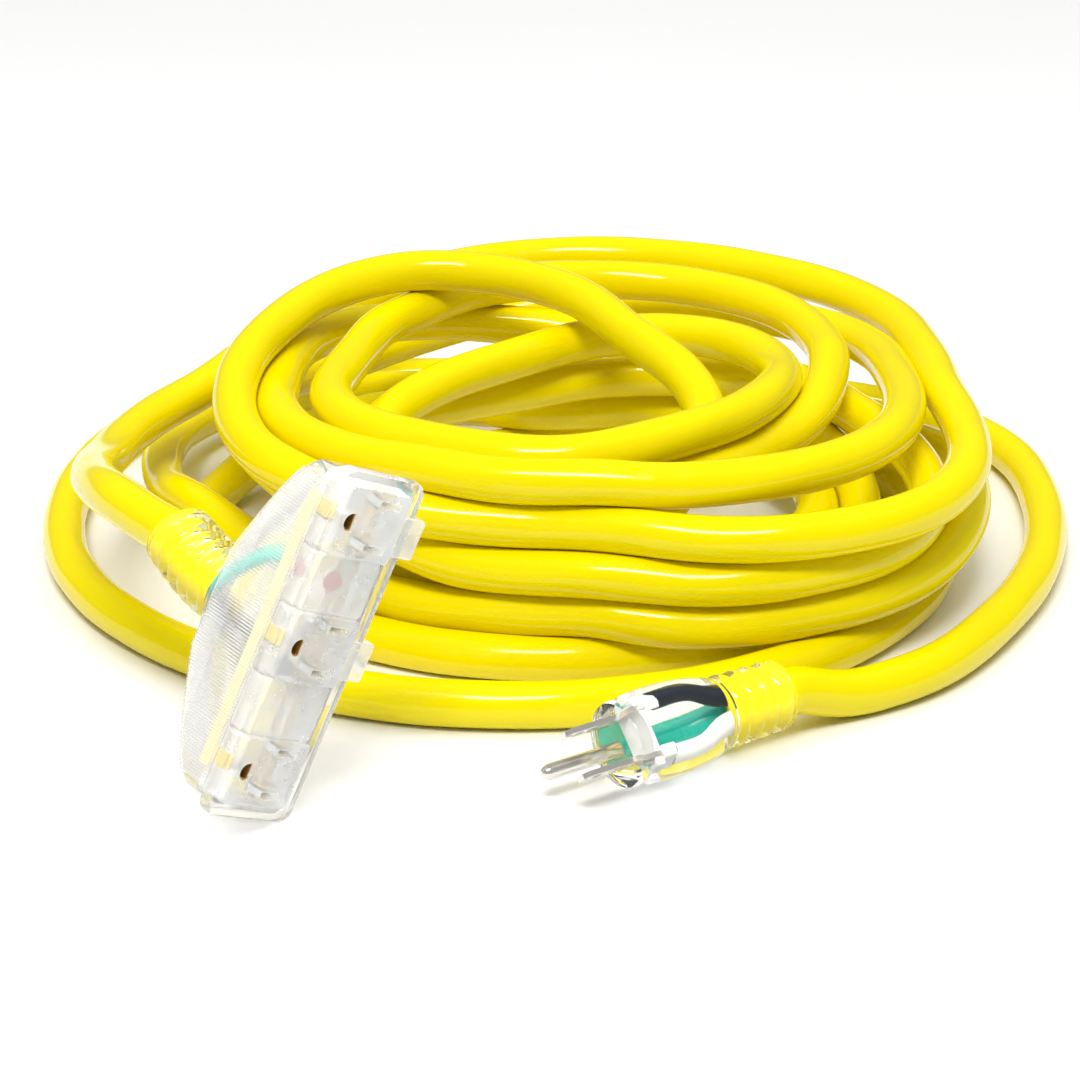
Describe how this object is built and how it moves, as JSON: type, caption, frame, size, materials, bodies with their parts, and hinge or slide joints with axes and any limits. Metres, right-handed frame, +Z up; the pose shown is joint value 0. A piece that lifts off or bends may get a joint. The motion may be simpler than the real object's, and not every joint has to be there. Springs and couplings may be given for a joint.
{
  "type": "extension cord",
  "caption": "Heavy-duty grounded extension cord wound in a loose coil, with a clear T-shaped outlet block and a clear moulded plug.",
  "frame": {"origin": "on the floor, under the middle of the outlet block's box", "axes": "+X to the right, +Y to the back across the coil, +Z up from the floor"},
  "size_m": [0.3319, 0.3933, 0.102],
  "materials": {
    "clear_plastic": "clear moulded vinyl, glossy, faintly milky",
    "insert_plastic": "clear to milky moulded insert",
    "bridge_plastic": "off-white moulded",
    "brass": "bright stamped sheet",
    "nickel": "nickel-plated, lightly brushed",
    "jacket": "thick glossy yellow vinyl",
    "wire_green": "green insulation",
    "wire_black": "black insulation",
    "wire_white": "white insulation",
    "lamp": "small red indicator lamp"
  },
  "bodies": {
    "root": {"tap_body": "clear_plastic", "tap_strain_relief": "clear_plastic", "plug_body": "clear_plastic", "plug_strain_relief": "clear_plastic", "outlet_1": "insert_plastic", "outlet_2": "insert_plastic", "outlet_3": "insert_plastic", "plug_bridge": "bridge_plastic", "lamp_resistor": "bridge_plastic", "line_contact_1": "brass", "neutral_contact_1": "brass", "ground_contact_1": "brass", "line_contact_2": "brass", "neutral_contact_2": "brass", "ground_contact_2": "brass", "line_contact_3": "brass", "neutral_contact_3": "brass", "ground_contact_3": "brass", "ground_bus_bar": "brass", "line_bus_bar": "brass", "neutral_bus_bar": "brass", "line_blade": "nickel", "neutral_blade": "nickel", "ground_pin": "nickel", "tap_ground_crimp": "nickel", "tap_line_crimp": "nickel", "tap_neutral_crimp": "nickel", "plug_ground_crimp": "nickel", "plug_line_crimp": "nickel", "plug_neutral_crimp": "nickel", "tap_jacket_end": "jacket", "plug_jacket_end": "jacket", "tap_lead": "jacket", "plug_lead": "jacket", "coil_lower": "jacket", "coil_upper": "jacket", "tap_ground_wire": "wire_green", "plug_ground_wire": "wire_green", "tap_line_wire": "wire_black", "plug_line_wire": "wire_black", "tap_neutral_wire": "wire_white", "plug_neutral_wire": "wire_white", "power_lamp": "lamp"}
  },
  "joints": []
}
